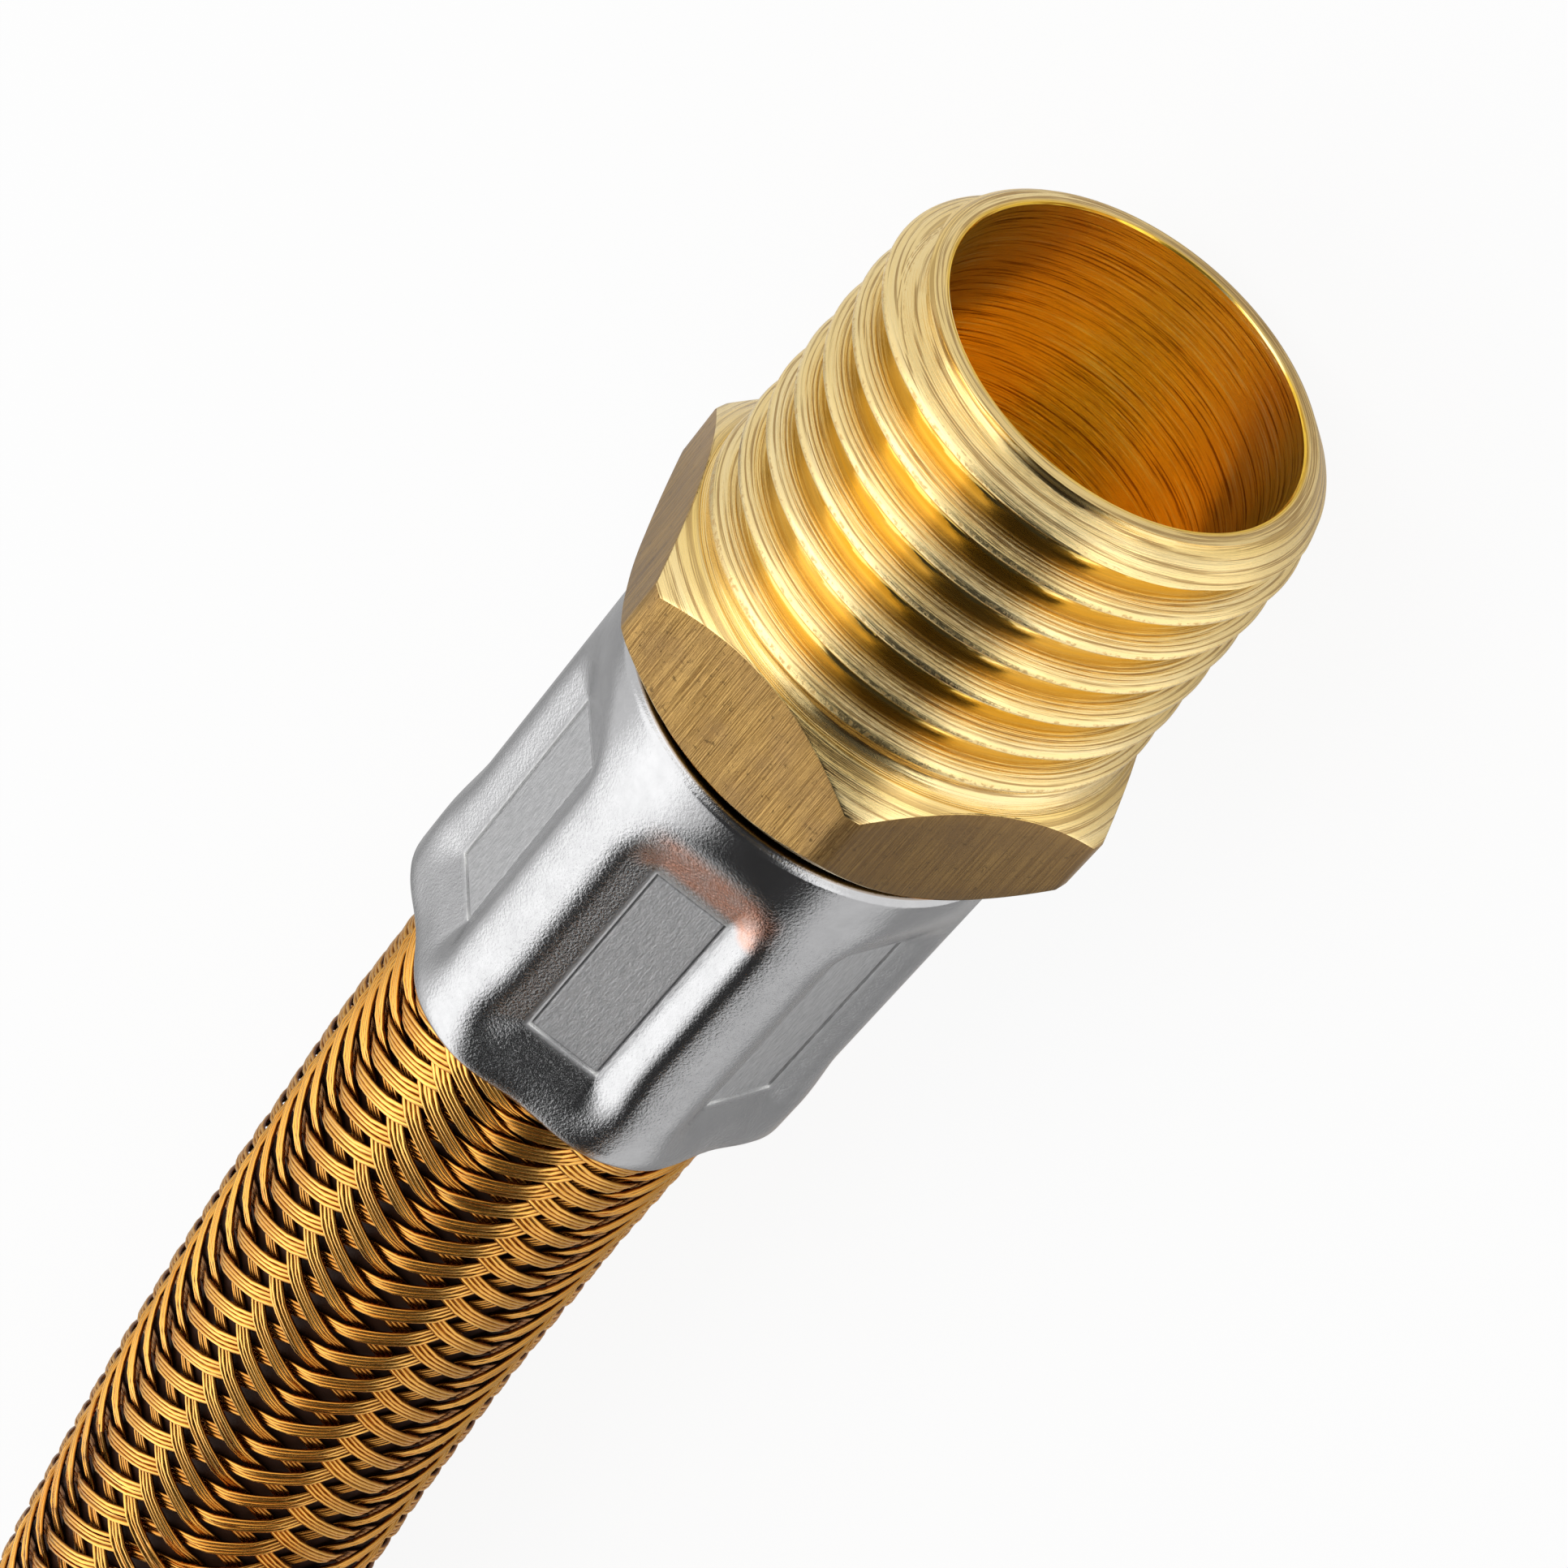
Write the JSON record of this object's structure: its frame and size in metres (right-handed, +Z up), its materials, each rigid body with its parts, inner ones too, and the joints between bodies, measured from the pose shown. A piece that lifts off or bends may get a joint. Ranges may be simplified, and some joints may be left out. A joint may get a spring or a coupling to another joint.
{
  "type": "propane regulator hose",
  "caption": "Wire-braided gas hose with a crimped tapered-thread fitting at one end and a hand-tightened cylinder connector at the other, stored in a coil.",
  "frame": {"origin": "on the surface it lies on, under the middle of the regulator fitting's hexagon, at the centre of the hexagon's lower flat", "axes": "+Z up, -X along the regulator fitting towards its open thread, +Y the way the cylinder connector's mouth faces"},
  "size_m": [0.1836, 0.2063, 0.048],
  "materials": {
    "machined_brass": "turned, with fine tool marks; flats drawn and darker",
    "plated_ferrule": "bright nickel plate on crimped steel, satin in the pressed pockets",
    "rubber_core": "dark brown-black rubber",
    "wire_braid": "bright brass wire, four wires to each band",
    "wheel_plastic": "moulded green plastic, fine satin texture",
    "bushing_plastic": "black moulded plastic",
    "tie_nylon": "black moulded nylon",
    "poppet_plastic": "white moulded acetal",
    "spring_steel": "drawn stainless wire"
  },
  "bodies": {
    "root": {"male_fitting": "machined_brass", "regulator_ferrule": "plated_ferrule", "regulator_core_end": "rubber_core", "regulator_braid_end": "wire_braid", "hose_core_run": "rubber_core", "hose_braid_run": "wire_braid", "hose_core_coil": "rubber_core", "hose_braid_coil": "wire_braid", "coil_tie": "tie_nylon", "cylinder_core_end": "rubber_core", "cylinder_braid_end": "wire_braid", "cylinder_ferrule": "plated_ferrule", "cylinder_nipple": "machined_brass", "flow_seat": "machined_brass", "flow_retainer": "spring_steel"},
    "bushing": {"thermal_bushing": "bushing_plastic"},
    "wheel": {"handwheel": "wheel_plastic"},
    "check": {"flow_poppet": "poppet_plastic", "flow_spring": "spring_steel"}
  },
  "joints": [
    {"name": "wheel_float", "type": "slide", "parent": "root", "child": "bushing", "axis": [0, -1, 0], "range_m": [0, 0.0017]},
    {"name": "wheel_spin", "type": "hinge", "parent": "bushing", "child": "wheel", "pos_m": [0.14748, 0.17488, 0.024], "axis": [0, 1, 0], "continuous": true},
    {"name": "flow_check", "type": "slide", "parent": "root", "child": "check", "axis": [0, -1, 0], "range_m": [0, 0.002], "stiffness_N_per_m": 100, "springref_m": -0.002}
  ]
}
